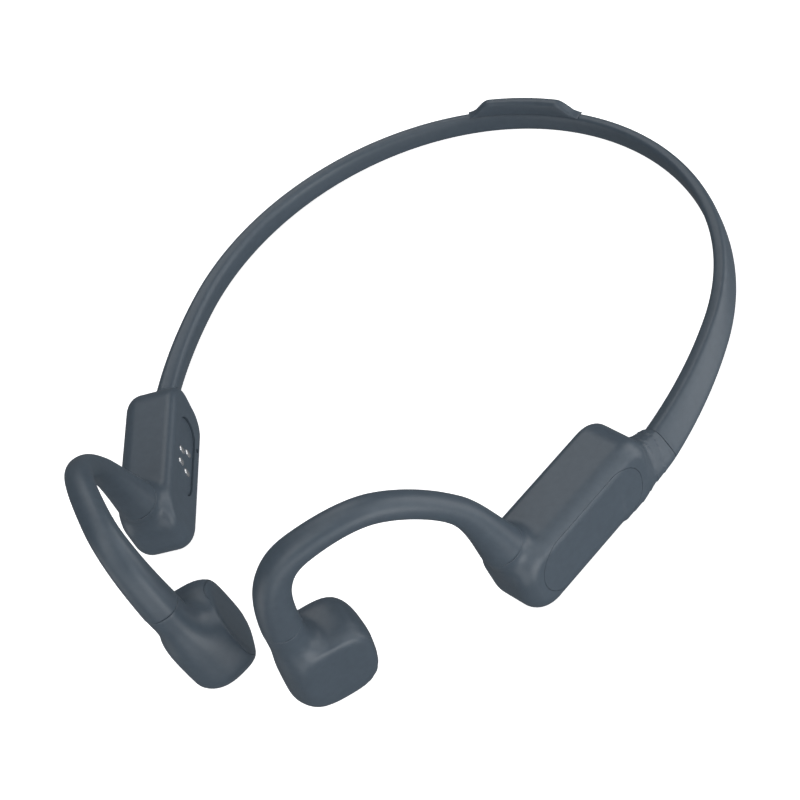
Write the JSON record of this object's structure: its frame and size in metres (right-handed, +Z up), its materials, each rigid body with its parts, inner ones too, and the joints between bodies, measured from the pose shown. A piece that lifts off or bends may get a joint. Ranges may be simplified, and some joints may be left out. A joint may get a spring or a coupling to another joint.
{
  "type": "bone conduction headphones",
  "caption": "Wraparound neckband headset: sprung band behind the neck, over-ear hooks and oval pods that rest in front of the ears, with housings, keys and charging contacts",
  "frame": {"origin": "under the middle of the box, on the plane that the neckband and housings stand on", "axes": "+X to the wearer's left, +Y to the back of the head, +Z up when worn"},
  "size_m": [0.0996, 0.1286, 0.0419],
  "materials": {
    "soft_sleeve": "matte slate silicone",
    "shell_plastic": "soft-touch slate polycarbonate",
    "contact_metal": "plated contact",
    "spring_wire": "drawn titanium alloy",
    "cable_jacket": "matte",
    "seal_rubber": "matte",
    "cell_foil": "laminated foil",
    "foam": "open foam",
    "board_green": "solder mask",
    "plated_steel": "plated",
    "magnet_nickel": "nickel plated",
    "copper_winding": "enamelled winding"
  },
  "bodies": {
    "nape": {"neckband_sleeve_nape": "soft_sleeve", "nape_fin": "soft_sleeve", "neckband_wire_nape": "spring_wire", "neckband_cable_nape": "cable_jacket"},
    "left_arm": {"neckband_sleeve_left": "soft_sleeve", "neckband_wire_left": "spring_wire", "neckband_cable_left": "cable_jacket", "left_hook_sleeve": "soft_sleeve", "left_hook_wire": "spring_wire", "left_hook_cable": "cable_jacket", "left_housing": "shell_plastic", "left_cover_plate": "shell_plastic", "left_cover_seal": "seal_rubber", "left_pod_shell": "shell_plastic", "left_contact_pad": "soft_sleeve", "left_pod_gasket": "seal_rubber", "left_transducer_yoke": "plated_steel", "left_transducer_magnet": "magnet_nickel", "left_transducer_pole": "plated_steel", "left_transducer_coil": "copper_winding", "left_transducer_spring": "spring_wire", "battery_cell": "cell_foil", "battery_foam": "foam", "battery_board": "board_green"},
    "right_arm": {"neckband_sleeve_right": "soft_sleeve", "neckband_wire_right": "spring_wire", "neckband_cable_right": "cable_jacket", "right_hook_sleeve": "soft_sleeve", "right_hook_wire": "spring_wire", "right_hook_cable": "cable_jacket", "right_housing": "shell_plastic", "right_cover_plate": "shell_plastic", "right_cover_seal": "seal_rubber", "right_pod_shell": "shell_plastic", "right_contact_pad": "soft_sleeve", "right_pod_gasket": "seal_rubber", "right_transducer_yoke": "plated_steel", "right_transducer_magnet": "magnet_nickel", "right_transducer_pole": "plated_steel", "right_transducer_coil": "copper_winding", "right_transducer_spring": "spring_wire", "charging_insert": "shell_plastic", "charging_pin_1": "contact_metal", "charging_pin_2": "contact_metal", "charging_pin_3": "contact_metal", "charging_pin_4": "contact_metal", "main_board": "board_green", "radio_shield": "plated_steel", "microphone": "plated_steel", "volume_up_switch": "plated_steel", "power_switch": "plated_steel", "volume_down_switch": "plated_steel", "key_board": "board_green"},
    "volume_up": {"volume_up_key": "shell_plastic"},
    "power": {"power_key": "shell_plastic"},
    "volume_down": {"volume_down_key": "shell_plastic"}
  },
  "joints": [
    {"name": "left_arm_flex", "type": "hinge", "parent": "nape", "child": "left_arm", "pos_m": [0.0277, 0.05443, 0], "axis": [0, 0, 1], "range_deg": [-1.5, 36], "stiffness_Nm_per_rad": 0.2},
    {"name": "right_arm_flex", "type": "hinge", "parent": "nape", "child": "right_arm", "pos_m": [-0.0277, 0.05443, 0], "axis": [0, 0, -1], "range_deg": [-1.5, 36], "stiffness_Nm_per_rad": 0.2},
    {"name": "volume_up_press", "type": "slide", "parent": "right_arm", "child": "volume_up", "axis": [0, 0, 1], "range_m": [0, 0.00035], "stiffness_N_per_m": 800},
    {"name": "power_press", "type": "slide", "parent": "right_arm", "child": "power", "axis": [0, 0, 1], "range_m": [0, 0.00035], "stiffness_N_per_m": 800},
    {"name": "volume_down_press", "type": "slide", "parent": "right_arm", "child": "volume_down", "axis": [0, 0, 1], "range_m": [0, 0.00035], "stiffness_N_per_m": 800}
  ]
}
